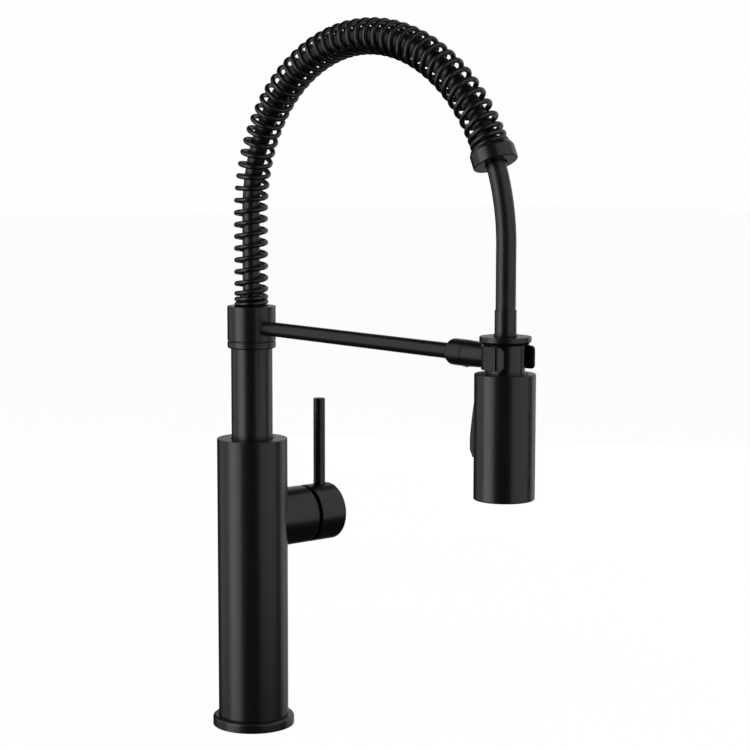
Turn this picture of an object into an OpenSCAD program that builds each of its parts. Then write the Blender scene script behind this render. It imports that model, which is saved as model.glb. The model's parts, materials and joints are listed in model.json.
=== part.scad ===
// Spring pull-down faucet: deck-mounted mixer body, swivelling riser, coil-spring arch,
// docking arm and spray head. Millimetres, +Z up. The origin is the centre of the mounting
// socket at deck level. The spout and docking arm point along -Y, the lever sits on +X.

/* [Base] */
// Diameter of the deck flange
flange_d = 63.5; // [60:0.5:70]
// Height of the deck flange
flange_h = 7.7; // [7:0.1:8]
// Outer diameter of the mixer body
body_d = 54.4; // [54:0.1:56]
// Height of the body's flat top above the deck
body_top_z = 226; // [224:1:232]
// Wall of the body shell
body_wall = 3; // [2.5:0.1:3]
// Radius of the threaded socket that takes the mounting shank
socket_r = 15.2; // [14:0.1:16]
// Depth of the threaded socket
socket_depth = 14; // [10:1:16]

/* [Mixer valve] */
// Height of the valve axis above the deck
valve_z = 160.8; // [158:0.1:162]
// Diameter of the valve housing and of the handle hub
valve_d = 45; // [44.5:0.1:46]
// Distance from the body axis to the valve housing's face
valve_face_x = 48.6; // [48:0.1:49]
// Gap between the housing's face and the hub, which the lever's tilt uses up
hub_gap = 3.6; // [3.5:0.1:4]
// Length of the handle hub
hub_len = 24.3; // [22:0.1:26]
// Distance from the body axis to the lever
lever_x = 66; // [65:0.1:67]
// Diameter of the lever
lever_d = 9.3; // [8:0.1:10]
// Height of the lever's flat end above the deck
lever_top_z = 251.8; // [230:0.1:270]

/* [Spout] */
// Outer diameter of the riser tube
riser_d = 31.8; // [31.6:0.1:32]
// Diameter of the collar and of the stop ring under it
collar_d = 37.2; // [37:0.1:40]
// Height of the collar's underside
collar_z = 302.2; // [302:0.1:303]
// Height of the collar's top, where the spring stands
collar_top_z = 328.5; // [327:0.1:330]

/* [Arch] */
// Horizontal distance from the body axis to the spray head's axis
reach = 282; // [279:1:285]
// Height where the spring starts to lean over
arch_start_z = 398.6; // [390:0.1:410]
// Bend radius of the rising stretch
rise_r = 125; // [123:1:127]
// Angle of the rising stretch
rise_angle = 55; // [54:1:56]
// Bend radius of the crown
crown_r = 147; // [145:1:149]
// Angle of the crown
crown_angle = 72; // [71:1:73]
// Outer diameter of the spring
spring_d = 26.2; // [25.8:0.1:26.4]
// Diameter of the spring wire
wire_d = 3.8; // [3.6:0.1:3.8]
// Outer diameter of the spray hose
hose_d = 13.4; // [13:0.1:13.5]

/* [Docking arm] */
// Height of the docking arm's axis
arm_z = 312.3; // [312:0.1:313]
// Diameter of the docking arm
arm_d = 10.9; // [10:0.1:11.5]
// Largest diameter of the sleeve that carries the dock
sleeve_d = 18.2; // [17:0.1:18.5]
// Height of the dock's clip
clip_h = 16; // [15:0.5:16]

/* [Spray head] */
// Outer diameter of the spray head
head_d = 41; // [40.6:0.1:41.5]
// Height of the spray head's lower end
head_z0 = 217.4; // [217:0.1:219]
// Height of the spray head's shoulder
head_z1 = 301.8; // [301:0.1:303]
// Diameter of the neck that the clip holds
neck_d = 26.3; // [26:0.1:26.4]
// Diameter of the disc that rests on the clip
disc_d = 34.6; // [33:0.1:36]

/* [Hidden] */
$fn = 96;
eps = 0.01;

// Matte black finish of every outer metal piece
black = "#1c1c1e";

// Body
body_r = body_d / 2;
body_bore_r = body_r - body_wall;
same_body_gap = 0.1;
inner_fit_r = body_bore_r - same_body_gap;
body_top_wall = 5;
gasket_r_in = 26;
gasket_r_out = 30;
gasket_h = 1.6;
mounting_ring_h = 20;
riser_r = riser_d / 2;
riser_z0 = 198;
riser_z1 = 306.2;
running_gap = 0.06;
block_z0 = 126;
block_z1 = 192;
block_face_x = 13;
port_r = 4;
port_y = 9;
duct_r = 3;
// Ports of the cartridge, as Y and height above the valve axis: hot, cold, mixed
cartridge_ports = [[port_y, -4], [-port_y, -4], [0, 8.2]];
inlet_thread_r = 4.5;
inlet_depth = 12;
nipple_z0 = 175;
nipple_bore_r = 7;
nipple_grooves = [179, 184];

// Valve
valve_r = valve_d / 2;
valve_bore_r = 19.5;
cartridge_r = 17.5;
seal_h = 1.6;
cartridge_x0 = block_face_x + seal_h;
cartridge_x1 = 40;
disc_x0 = 17.05;
disc_h = 4;
disc_r = 13.5;
moving_disc_h = 3.4;
carrier_x0 = disc_x0 + disc_h + moving_disc_h + 0.25;
carrier_h = 10.4;
nut_h = 5;
bonnet_x0 = 45.2;
tilt_pivot_x = 31;
pin_r = 1.5;
stem_x0 = 27.6;
stem_len = 36;
stem_w = 7;
hub_screw_x = 60;
hub_screw_r = 2.5;
lever_foot_z = valve_z + 16.1;
hub_x0 = valve_face_x + hub_gap;

// Bearing
bearing_z0 = 201.5;
bearing_z1 = body_top_z - body_top_wall - 0.2;
glide_len = 5;
glide_r = 17.5;
riser_seal_heights = [209.4, 212.6];

// Spring route, measured in mm along the spring from the collar's top
leg_up = arch_start_z - collar_top_z;
fall_angle = 180 - rise_angle - crown_angle;
rise_end_heading = 90 - rise_angle;
crown_end_heading = rise_end_heading - crown_angle;
reach_before_fall = rise_r * (1 - sin(rise_end_heading))
    + crown_r * (sin(rise_end_heading) - sin(crown_end_heading));
fall_r = (reach - reach_before_fall) / (1 + sin(crown_end_heading));
function arc_len(r, angle) = r * angle * PI / 180;
s_rise_end = leg_up + arc_len(rise_r, rise_angle);
s_crown_end = s_rise_end + arc_len(crown_r, crown_angle);
s_fall_end = s_crown_end + arc_len(fall_r, fall_angle);
cap_len = 12;
s_cap = 437.6;
// Turns of the spring against the distance along it: closed ends, even coils between
coil_stations = [[0, 0.7], [2, 8.4], [3, 15.7], [4, 24.7], [20, 168.7], [47, 419.2],
                 [48, 427], [49, 432.3], [50, 436.5], [51, 440.7]];
coil_start = 0;
coil_end = 51;
coil_steps = 10;
wire_sides = 5;
coil_r = (spring_d - wire_d) / 2;
hose_r = hose_d / 2;

// Collar
spigot_r = 8.35;
spring_recess_h = 1.3;
collar_screw_z = 304.4;
collar_screw_angle = 40;
collar_screw_r = 1.5;

// Docking arm
arm_r = arm_d / 2;
arm_thread_r = 4;
arm_thread_y = 10.5;
sleeve_r = sleeve_d / 2;
sleeve_y0 = 229.5;
sleeve_end_r = 8.1;
sleeve_len = 36.9;
sleeve_screw_y = 244;
sleeve_screw_r = 2;
arm_end_y = 248;
liner_bore_r = neck_d / 2 + 0.35;
liner_r = liner_bore_r + 1.35;
liner_jaw_len = 13;
clip_bore_r = liner_r + 0.05;
clip_r = clip_bore_r + 1.1;
jaw_len = 7;
clip_z0 = 304.5;

// Spray head
head_r = head_d / 2;
head_wall = 2.3;
head_bore_r = head_r - head_wall;
neck_r = neck_d / 2;
disc_z0 = clip_z0 + clip_h + 0.6;
disc_z1 = disc_z0 + 5.4;
shoulder_r = 14.6;
lip_r = 15.3;
lip_h = 1.5;
stem_r = 5;
plug_z0 = head_z1 - 8.3;
retainer_z = plug_z0 + 3;
stem_grooves = [plug_z0 + 10, plug_z0 + 15];
retainer_r = 8;
ferrule_r = 7.3;
ferrule_z0 = disc_z1 + 0.3;
ferrule_z1 = ferrule_z0 + 17.1;
hose_end_z = disc_z1 + 4.1;
face_z0 = head_z0 + 2.6;
face_z1 = face_z0 + 4.4;
face_r = 16;
waterway_z0 = face_z1 + 4.2;
trigger_w = 20;
trigger_z0 = head_z0 + 26.8;
trigger_z1 = trigger_z0 + 37.2;
trigger_pivot_y = 13.6;
trigger_pin_r = 1.2;
lug_x = 5.5;
trigger_pivot_z = trigger_z1 - 4;
plunger_z = trigger_z0 + 7.2;
plunger_r = 2.5;

// ---- Route of the spring and hose -------------------------------------------------

// Direction of travel, in degrees above the horizontal, at distance s from the collar's top
function heading(s) =
    s < leg_up ? 90 :
    s < s_rise_end ? 90 - (s - leg_up) / rise_r * 180 / PI :
    s < s_crown_end ? rise_end_heading - (s - s_rise_end) / crown_r * 180 / PI :
    s < s_fall_end ? crown_end_heading - (s - s_crown_end) / fall_r * 180 / PI :
    -90;

function arc_step(r, from, to) = [r * (sin(from) - sin(to)), r * (cos(to) - cos(from))];

arch_start = [0, arch_start_z];
rise_end = arch_start + arc_step(rise_r, 90, rise_end_heading);
crown_end = rise_end + arc_step(crown_r, rise_end_heading, crown_end_heading);
fall_end = crown_end + arc_step(fall_r, crown_end_heading, -90);

// Point of the route: distance out along -Y, and height
function route(s) =
    s < leg_up ? [0, collar_top_z + s] :
    s < s_rise_end ? arch_start + arc_step(rise_r, 90, heading(s)) :
    s < s_crown_end ? rise_end + arc_step(crown_r, rise_end_heading, heading(s)) :
    s < s_fall_end ? crown_end + arc_step(fall_r, crown_end_heading, heading(s)) :
    fall_end - [0, s - s_fall_end];

// The same point in space, moved off the route by u outwards from the arch and w along -X
function beside_route(s, u, w) =
    let (p = route(s), h = heading(s))
    [-w, -p[0] + u * sin(h), p[1] + u * cos(h)];

// Puts its children at distance s, with their +Z along the direction of travel
module along_route(s) {
    p = route(s);
    translate([0, -p[0], p[1]]) rotate([90 - heading(s), 0, 0]) children();
}

// A closed tube through rings of points that all have the same number of sides
module swept(rings, sides) {
    last = len(rings) - 1;
    points = [for (ring = rings) each ring];
    walls = [for (i = [0:last - 1], j = [0:sides - 1])
        let (k = (j + 1) % sides, a = i * sides)
        each [[a + j, a + sides + j, a + sides + k], [a + j, a + sides + k, a + k]]];
    start_cap = [for (j = [0:sides - 1]) j];
    end_cap = [for (j = [sides - 1:-1:0]) last * sides + j];
    polyhedron(points = points, faces = concat([start_cap], walls, [end_cap]), convexity = 10);
}

// Rings of a hose of radius r from distance s0 to s1
function hose_rings(s0, s1, r, count, sides) =
    [for (i = [0:count])
        let (s = s0 + (s1 - s0) * i / count)
        [for (j = [0:sides - 1]) beside_route(s, r * cos(360 * j / sides), r * sin(360 * j / sides))]];

// One ring of the spring wire after n turns, square to the wire
function coil_centre(n) =
    let (s = lookup(n, coil_stations))
    beside_route(s, coil_r * cos(360 * n), coil_r * sin(360 * n));

function wire_ring(n) =
    let (
        s = lookup(n, coil_stations),
        c = coil_centre(n),
        out = beside_route(s, (coil_r + 1) * cos(360 * n), (coil_r + 1) * sin(360 * n)) - c,
        d = coil_centre(n + 0.01) - coil_centre(n - 0.01),
        along = d / norm(d),
        side = cross(along, out)
    )
    [for (j = [0:wire_sides - 1])
        c + wire_d / 2 * (cos(360 * j / wire_sides) * out + sin(360 * j / wire_sides) * side)];

// ---- Helpers ----------------------------------------------------------------------

module along_x(x) { translate([x, 0, valve_z]) rotate([0, 90, 0]) children(); }
module along_arm(y) { translate([0, -y, arm_z]) rotate([90, 0, 0]) children(); }
module at_head(z) { translate([0, -reach, z]) children(); }

module ring(r_out, r_in, h) {
    difference() {
        cylinder(h = h, r = r_out);
        translate([0, 0, -eps]) cylinder(h = h + 2 * eps, r = r_in);
    }
}

// Half ring with two straight jaws that reach forward along -Y
module u_shape(r_out, r_in, jaws, h) {
    difference() {
        union() {
            cylinder(h = h, r = r_out);
            translate([-r_out, -jaws, 0]) cube([2 * r_out, jaws, h]);
        }
        translate([0, 0, -1]) cylinder(h = h + 2, r = r_in);
        translate([-r_in, -2 * r_out, -1]) cube([2 * r_in, 2 * r_out, h + 2]);
        translate([-r_out - 1, -3 * r_out, -1]) cube([2 * r_out + 2, 3 * r_out - jaws, h + 2]);
    }
}

module o_ring(r, thickness) {
    rotate_extrude() translate([r, 0]) circle(d = thickness, $fn = 24);
}

// ---- Base -------------------------------------------------------------------------

// Plain ring that covers the deck hole, with a rounded top edge
module base_flange() {
    edge = 2;
    foot_chamfer = 0.6;
    bore = inner_fit_r + 0.2;
    flange_r = flange_d / 2;
    color(black) rotate_extrude() difference() {
        union() {
            translate([bore, 0]) square([flange_r - bore, flange_h - edge]);
            translate([bore, 0]) square([flange_r - edge - bore, flange_h]);
            translate([flange_r - edge, flange_h - edge]) intersection() {
                circle(r = edge);
                square(edge);
            }
        }
        translate([gasket_r_in - 0.1, -eps])
            square([gasket_r_out - gasket_r_in + 0.2, gasket_h + eps]);
        translate([flange_r, 0]) rotate(45) square(foot_chamfer, center = true);
    }
}

module deck_gasket() {
    color("#202020") ring(gasket_r_out, gasket_r_in, gasket_h);
}

// Brass ring in the foot of the body, threaded for the mounting shank
module mounting_ring() {
    shoulder = 1.2;
    color("#b08d45") difference() {
        cylinder(h = mounting_ring_h, r = inner_fit_r);
        translate([0, 0, -eps]) cylinder(h = socket_depth + eps, r = socket_r);
        cylinder(h = mounting_ring_h + 1, r = socket_r - shoulder);
    }
}

// Tube of the body, with a side hole for the cartridge and a flat top with the riser's hole
module mixer_body() {
    riser_clearance = 0.55;
    color(black) difference() {
        translate([0, 0, flange_h]) cylinder(h = body_top_z - flange_h, r = body_r);
        cylinder(h = body_top_z - body_top_wall, r = body_bore_r);
        cylinder(h = body_top_z + 1, r = riser_r + riser_clearance);
        along_x(block_face_x) cylinder(h = body_d, r = valve_bore_r);
    }
}

// Short tube brazed to the body's +X side, round the cartridge
module valve_housing() {
    color(black) difference() {
        along_x(0) cylinder(h = valve_face_x, r = valve_r);
        along_x(-1) cylinder(h = valve_face_x + 2, r = valve_bore_r);
        translate([0, 0, valve_z - body_d]) cylinder(h = 2 * body_d, r = body_r);
        translate([-body_d, -body_d, valve_z - body_d]) cube([body_d, 2 * body_d, 2 * body_d]);
    }
}

// Brass manifold: two threaded inlets below, the cartridge on +X, the outlet on top
module mixing_block() {
    color("#b08d45") difference() {
        translate([0, 0, block_z0]) cylinder(h = block_z1 - block_z0, r = inner_fit_r);
        along_x(block_face_x) cylinder(h = body_d, r = valve_bore_r);
        for (side = [-1, 1]) translate([0, side * port_y, block_z0]) {
            translate([0, 0, -eps]) cylinder(h = inlet_depth, r = inlet_thread_r);
            cylinder(h = valve_z - block_z0, r = port_r - 0.5);
        }
        for (p = cartridge_ports) translate([0, p[0], valve_z + p[1]])
            rotate([0, 90, 0]) cylinder(h = body_r, r = duct_r);
        translate([0, 0, nipple_z0 - 1]) cylinder(h = body_r, r = nipple_bore_r);
        translate([0, 0, valve_z + 7.2]) cylinder(h = body_r, r = port_r);
    }
}

module bearing_carrier() {
    color("#b08d45") translate([0, 0, bearing_z0])
        ring(inner_fit_r, glide_r + 0.05, bearing_z1 - bearing_z0);
}

module glide_ring(z) {
    color("#e8e4da") translate([0, 0, z]) ring(glide_r, riser_r + running_gap, glide_len);
}

module lower_glide_ring() { glide_ring(bearing_z0); }
module upper_glide_ring() { glide_ring(bearing_z1 - glide_len); }

module riser_o_rings() {
    thickness = glide_r - riser_r - running_gap;
    color("#202020") for (z = riser_seal_heights)
        translate([0, 0, z]) o_ring(riser_r + running_gap + thickness / 2, thickness);
}

// ---- Ceramic cartridge ------------------------------------------------------------

module cartridge_seals() {
    color("#8c2f28") for (p = cartridge_ports)
        translate([block_face_x, p[0], valve_z + p[1]]) rotate([0, 90, 0])
            ring(duct_r + 1.6, duct_r + 0.1, seal_h);
}

module cartridge_body() {
    foot = 2.4;
    lid = 4.6;
    stem_opening_r = 9.6;
    color("#d9d9d4") difference() {
        along_x(cartridge_x0) cylinder(h = cartridge_x1 - cartridge_x0, r = cartridge_r);
        along_x(cartridge_x0 + foot)
            cylinder(h = cartridge_x1 - cartridge_x0 - foot - lid, r = disc_r + 0.1);
        along_x(tilt_pivot_x) cylinder(h = 20, r = stem_opening_r);
        for (p = cartridge_ports) translate([cartridge_x0 - eps, p[0], valve_z + p[1]])
            rotate([0, 90, 0]) cylinder(h = foot + 1, r = duct_r);
    }
}

module fixed_ceramic_disc() {
    color("#f2f2ee") difference() {
        along_x(disc_x0) cylinder(h = disc_h, r = disc_r);
        for (p = cartridge_ports) translate([disc_x0 - 1, p[0], valve_z + p[1]])
            rotate([0, 90, 0]) cylinder(h = disc_h + 2, r = duct_r - 0.2);
    }
}

module moving_ceramic_disc() {
    mixing_pocket_r = 5.5;
    color("#f2f2ee") difference() {
        along_x(disc_x0 + disc_h + 0.05) cylinder(h = moving_disc_h, r = disc_r - 0.9);
        translate([disc_x0 + disc_h, 0, valve_z + 2]) rotate([0, 90, 0])
            cylinder(h = 2, r = mixing_pocket_r);
    }
}

// Plastic rotor that turns the moving disc and carries the stem's pin
module cartridge_carrier() {
    slot_w = stem_w + 0.6;
    slot_h = 17.2;
    color("#e8e4da") difference() {
        along_x(carrier_x0) cylinder(h = carrier_h, r = disc_r - 0.2);
        translate([carrier_x0 + 1.8, -slot_w / 2, valve_z - slot_h / 2]) cube([20, slot_w, slot_h]);
        translate([tilt_pivot_x, 0, valve_z]) rotate([90, 0, 0])
            cylinder(h = 20, r = pin_r + 0.02, center = true);
    }
}

module stem_pin() {
    color("#c8c8c8") translate([tilt_pivot_x, 0, valve_z]) rotate([90, 0, 0])
        cylinder(h = 18, r = pin_r, center = true);
}

module cartridge_nut() {
    color("#b08d45") along_x(cartridge_x1 + same_body_gap)
        ring(valve_bore_r - same_body_gap, 11.5, nut_h);
}

// Low dome that closes the housing behind the hub
module valve_bonnet() {
    rim_h = 3.2;
    dome_h = 1.6;
    stem_opening_r = 9.4;
    color(black) along_x(bonnet_x0) difference() {
        union() {
            cylinder(h = rim_h, r = valve_bore_r - same_body_gap);
            translate([0, 0, rim_h - eps]) cylinder(h = dome_h, r1 = valve_bore_r - 0.3, r2 = 15);
        }
        translate([0, 0, -1]) cylinder(h = rim_h + dome_h + 2, r = stem_opening_r);
    }
}

// ---- Handle -----------------------------------------------------------------------

module lever_stem() {
    color("#c8c8c8") difference() {
        translate([stem_x0, -stem_w / 2, valve_z - stem_w / 2]) cube([stem_len, stem_w, stem_w]);
        translate([tilt_pivot_x, 0, valve_z]) rotate([90, 0, 0])
            cylinder(h = 40, r = pin_r + 0.05, center = true);
    }
}

// Round hub with rounded outer edge, hollow towards the bonnet
module handle_hub() {
    edge = 2.2;
    cavity = 6.6;
    rim = 2.2;
    boss_r = 8.5;
    boss_inset = 1.8;
    socket_w = stem_w + 0.2;
    thread_r = 3.05;
    hole_h = 30;
    color(black) difference() {
        union() {
            along_x(hub_x0) difference() {
                rotate_extrude() {
                    square([valve_r, hub_len - edge]);
                    square([valve_r - edge, hub_len]);
                    translate([valve_r - edge, hub_len - edge]) circle(r = edge);
                }
                translate([0, 0, -eps]) cylinder(h = cavity, r = valve_r - rim);
            }
            along_x(hub_x0 + boss_inset) cylinder(h = cavity, r = boss_r);
        }
        translate([hub_x0, -socket_w / 2, valve_z - socket_w / 2])
            cube([stem_x0 + stem_len + 0.2 - hub_x0, socket_w, socket_w]);
        translate([lever_x, 0, lever_foot_z - 0.1]) cylinder(h = hole_h, r = lever_d / 2 + 0.7);
        translate([lever_x, 0, lever_foot_z - 8.1]) cylinder(h = hole_h, r = thread_r);
        translate([hub_screw_x, 0, valve_z - hole_h]) cylinder(h = hole_h, r = hub_screw_r + 0.05);
    }
}

module lever_rod() {
    edge = 0.6;
    thread_len = 7.9;
    color(black) translate([lever_x, 0, 0]) {
        translate([0, 0, lever_foot_z - thread_len]) cylinder(h = thread_len + eps, r = 3);
        translate([0, 0, lever_foot_z])
            cylinder(h = lever_top_z - edge - lever_foot_z, r = lever_d / 2);
        translate([0, 0, lever_top_z - edge - eps])
            cylinder(h = edge + eps, r1 = lever_d / 2, r2 = lever_d / 2 - edge);
    }
}

module hub_grub_screw() {
    socket_h = 2.6;
    color("#6f6f73") translate([hub_screw_x, 0, valve_z - 14]) difference() {
        cylinder(h = 10.3, r = hub_screw_r);
        translate([0, 0, -eps]) cylinder(h = socket_h, r = hub_screw_r / 2);
    }
}

// ---- Spout ------------------------------------------------------------------------

module riser_tube() {
    wall = 2;
    color(black) difference() {
        translate([0, 0, riser_z0]) ring(riser_r, riser_r - wall, riser_z1 - riser_z0);
        translate([0, 0, riser_z0 + 1.4]) ring(riser_r + 1, riser_r - 0.7, 1.9);
    }
}

module riser_retaining_ring() {
    color("#c8c8c8") translate([0, 0, riser_z0 + 1.6]) ring(glide_r - 0.1, riser_r - 0.6, 1.5);
}

module hose_inlet_nipple() {
    collar_h = 3;
    color("#b08d45") difference() {
        union() {
            translate([0, 0, nipple_z0])
                cylinder(h = block_z1 + 1 - nipple_z0, r = nipple_bore_r - 0.05);
            translate([0, 0, block_z1 + 0.3]) cylinder(h = collar_h, r = nipple_bore_r + 2.4);
            translate([0, 0, block_z1 + 0.3]) cylinder(h = 5.7, r = hose_r - 0.1);
        }
        translate([0, 0, nipple_z0 - 1]) cylinder(h = 40, r = duct_r + 0.6);
        for (z = nipple_grooves) translate([0, 0, z]) ring(9, nipple_bore_r - 1.55, 1.6);
    }
}

module nipple_o_rings() {
    color("#202020") for (z = nipple_grooves)
        translate([0, 0, z + 0.8]) o_ring(nipple_bore_r - 0.78, 1.46);
}

module inlet_ferrule() {
    color("#c8c8c8") translate([0, 0, block_z1 + 3.4]) ring(8.4, hose_r + 0.1, 20);
}

module stop_ring() {
    edge = 0.9;
    h = 5.2;
    color(black) translate([0, 0, collar_z - 0.9 - h]) difference() {
        union() {
            cylinder(h = edge, r1 = collar_d / 2 - edge, r2 = collar_d / 2);
            translate([0, 0, edge - eps]) cylinder(h = h - edge, r = collar_d / 2);
        }
        translate([0, 0, -1]) cylinder(h = h + 2, r = riser_r + 0.05);
    }
}

// Collar on the riser's top: holds the docking arm; the spring stands in its shallow recess
module collar() {
    color(black) difference() {
        translate([0, 0, collar_z]) cylinder(h = collar_top_z - collar_z, r = collar_d / 2);
        translate([0, 0, collar_z - 1]) cylinder(h = riser_z1 - collar_z + 1.1, r = riser_r + 0.05);
        translate([0, 0, collar_z - 1]) cylinder(h = 60, r = spigot_r + 0.05);
        translate([0, 0, collar_top_z - spring_recess_h]) cylinder(h = 5, r = spring_d / 2 + 0.4);
        along_arm(arm_thread_y - 2.5) cylinder(h = 20, r = arm_thread_r + 0.05);
        along_arm(collar_d / 2 - 1.3) cylinder(h = 4, r = arm_r + 0.7);
        for (side = [-1, 1]) rotate([0, 0, side * collar_screw_angle])
            translate([0, 10, collar_screw_z]) rotate([-90, 0, 0])
                cylinder(h = 12, r = collar_screw_r + 0.05);
    }
}

module collar_grub_screws() {
    color("#6f6f73") for (side = [-1, 1]) rotate([0, 0, side * collar_screw_angle])
        translate([0, riser_r + 0.1, collar_screw_z]) rotate([-90, 0, 0]) difference() {
            cylinder(h = 2.3, r = collar_screw_r);
            translate([0, 0, 1]) cylinder(h = 3, r = collar_screw_r / 2);
        }
}

// Threaded spigot that centres the foot of the spring
module spring_seat() {
    color(black) difference() {
        union() {
            translate([0, 0, collar_z + 10]) cylinder(h = 20, r = spigot_r);
            translate([0, 0, collar_top_z - spring_recess_h + eps])
                cylinder(h = 9.5, r = spigot_r + 0.55);
        }
        translate([0, 0, collar_z]) cylinder(h = 60, r = hose_r + 0.3);
    }
}

module coil_spring() {
    color(black) swept([for (n = [coil_start:1 / coil_steps:coil_end]) wire_ring(n)], wire_sides);
}

// Hose from the inlet nipple up the riser and through the whole spring
module upper_hose() {
    color("#242426") swept(hose_rings(block_z1 + 6 - collar_top_z, s_cap + cap_len, hose_r, 46, 12), 12);
}

// Cup on the spring's free end, with a tapered rim and a hole for the hose
module spring_cap() {
    end_wall = 3;
    rim_r = 13.8;
    taper_h = 3;
    cup_r = 15.3;
    color(black) along_route(s_cap + cap_len / 2) translate([0, 0, -cap_len / 2]) difference() {
        union() {
            cylinder(h = taper_h, r1 = rim_r, r2 = cup_r);
            translate([0, 0, taper_h - eps]) cylinder(h = cap_len - taper_h + eps, r = cup_r);
        }
        translate([0, 0, -eps]) cylinder(h = cap_len - end_wall, r = spring_d / 2 + 0.3);
        cylinder(h = cap_len + 1, r = hose_r + 1.5);
    }
}

module docking_arm() {
    color(black) {
        along_arm(arm_thread_y) cylinder(h = 8, r = arm_thread_r);
        along_arm(collar_d / 2 - 1.2) cylinder(h = arm_end_y - collar_d / 2 + 1.2, r = arm_r);
    }
}

// Sleeve over the arm's end, which carries the clip
module arm_sleeve() {
    round_r = 3.4;
    straight = 12;
    groove_at = 17;
    groove_w = 0.5;
    groove_depth = 0.25;
    color(black) difference() {
        along_arm(sleeve_y0) rotate_extrude() difference() {
            union() {
                polygon([[0, round_r], [sleeve_r, round_r], [sleeve_r, straight],
                         [sleeve_end_r, sleeve_len], [0, sleeve_len]]);
                square([sleeve_r - round_r, round_r + eps]);
                translate([sleeve_r - round_r, round_r]) circle(r = round_r);
            }
            translate([sleeve_r - groove_depth, groove_at]) square([2, groove_w]);
        }
        along_arm(200) cylinder(h = arm_end_y + 0.2 - 200, r = arm_r + 0.05);
        translate([0, -sleeve_screw_y, arm_z - 20]) cylinder(h = 20, r = sleeve_screw_r + 0.05);
        at_head(arm_z - 20) cylinder(h = 40, r = clip_r);
    }
}

module sleeve_grub_screw() {
    color("#6f6f73") translate([0, -sleeve_screw_y, arm_z - 9.5]) difference() {
        cylinder(h = 4, r = sleeve_screw_r);
        translate([0, 0, -eps]) cylinder(h = 2, r = sleeve_screw_r / 2);
    }
}

// U-shaped bracket round the liner, open away from the body
module dock_clip() {
    color(black) at_head(clip_z0) u_shape(clip_r, clip_bore_r, jaw_len, clip_h);
}

// Plastic liner that grips the neck; its jaws reach past the bracket, with rounded tips
module clip_liner() {
    inset = 0.3;
    tip_r = 3;
    h = clip_h - 2 * inset;
    w = 2 * liner_r + 2;
    color("#242426") at_head(clip_z0 + inset) intersection() {
        u_shape(liner_r, liner_bore_r, liner_jaw_len, h);
        translate([-w / 2, -liner_jaw_len, 0]) union() {
            translate([0, tip_r, -1]) cube([w, 2 * w, h + 2]);
            translate([0, 0, tip_r]) cube([w, 2 * w, h - 2 * tip_r]);
            for (z = [tip_r, h - tip_r])
                translate([0, tip_r, z]) rotate([0, 90, 0]) cylinder(h = w, r = tip_r);
        }
    }
}

// ---- Hose end ---------------------------------------------------------------------

module lower_hose() {
    s_end = s_fall_end + fall_end[1] - hose_end_z;
    color("#242426") swept(hose_rings(s_cap + cap_len + 0.1, s_end, hose_r, 12, 12), 12);
}

module hose_ferrule() {
    flare_r = 7.8;
    flare_h = 1.4;
    color(black) at_head(ferrule_z0) difference() {
        union() {
            cylinder(h = ferrule_z1 - ferrule_z0, r = ferrule_r);
            cylinder(h = flare_h, r = flare_r);
        }
        translate([0, 0, -1]) cylinder(h = 30, r = hose_r + 0.1);
    }
}

// Stem crimped into the hose; the spray head turns on it
module swivel_stem() {
    color("#b08d45") at_head(0) difference() {
        union() {
            translate([0, 0, disc_z1 + 0.4]) cylinder(h = hose_end_z - disc_z1 - 0.4, r = hose_r - 0.1);
            translate([0, 0, plug_z0]) cylinder(h = disc_z1 + 4 - plug_z0, r = stem_r);
        }
        translate([0, 0, plug_z0 - 1]) cylinder(h = 60, r = duct_r);
        translate([0, 0, retainer_z]) ring(7, stem_r - 0.9, 1.5);
        for (z = stem_grooves) translate([0, 0, z]) ring(7, stem_r - 1.25, 1.4);
    }
}

module stem_o_rings() {
    color("#202020") for (z = stem_grooves) at_head(z + 0.7) o_ring(stem_r - 0.63, 1.2);
}

// ---- Spray head -------------------------------------------------------------------

// Shoulder plug, neck and rest disc in one piece
module head_cap() {
    edge = 0.6;
    underside_h = 2.2;
    color(black) at_head(0) difference() {
        union() {
            translate([0, 0, plug_z0])
                cylinder(h = head_z1 - lip_h - 0.1 - plug_z0, r = head_bore_r - 0.1);
            translate([0, 0, plug_z0 + 2]) cylinder(h = head_z1 - plug_z0 - 1.9, r = shoulder_r);
            translate([0, 0, plug_z0 + 2]) cylinder(h = disc_z0 - plug_z0 - 1, r = neck_r);
            translate([0, 0, disc_z0])
                cylinder(h = underside_h, r1 = disc_d / 2 - underside_h, r2 = disc_d / 2);
            translate([0, 0, disc_z0 + underside_h - eps])
                cylinder(h = disc_z1 - disc_z0 - underside_h - edge + eps, r = disc_d / 2);
            translate([0, 0, disc_z1 - edge - eps])
                cylinder(h = edge, r1 = disc_d / 2, r2 = disc_d / 2 - edge);
        }
        translate([0, 0, plug_z0 - 1]) cylinder(h = 60, r = stem_r + 0.05);
        translate([0, 0, plug_z0 - 1]) cylinder(h = 6, r = retainer_r + 0.1);
    }
}

// C-ring that keeps the stem in the head
module swivel_retainer() {
    slot_w = 3;
    color("#c8c8c8") at_head(retainer_z + 0.1) difference() {
        ring(retainer_r, stem_r - 0.85, 1.3);
        translate([-slot_w / 2, 0, -1]) cube([slot_w, 10, 4]);
    }
}

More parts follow.
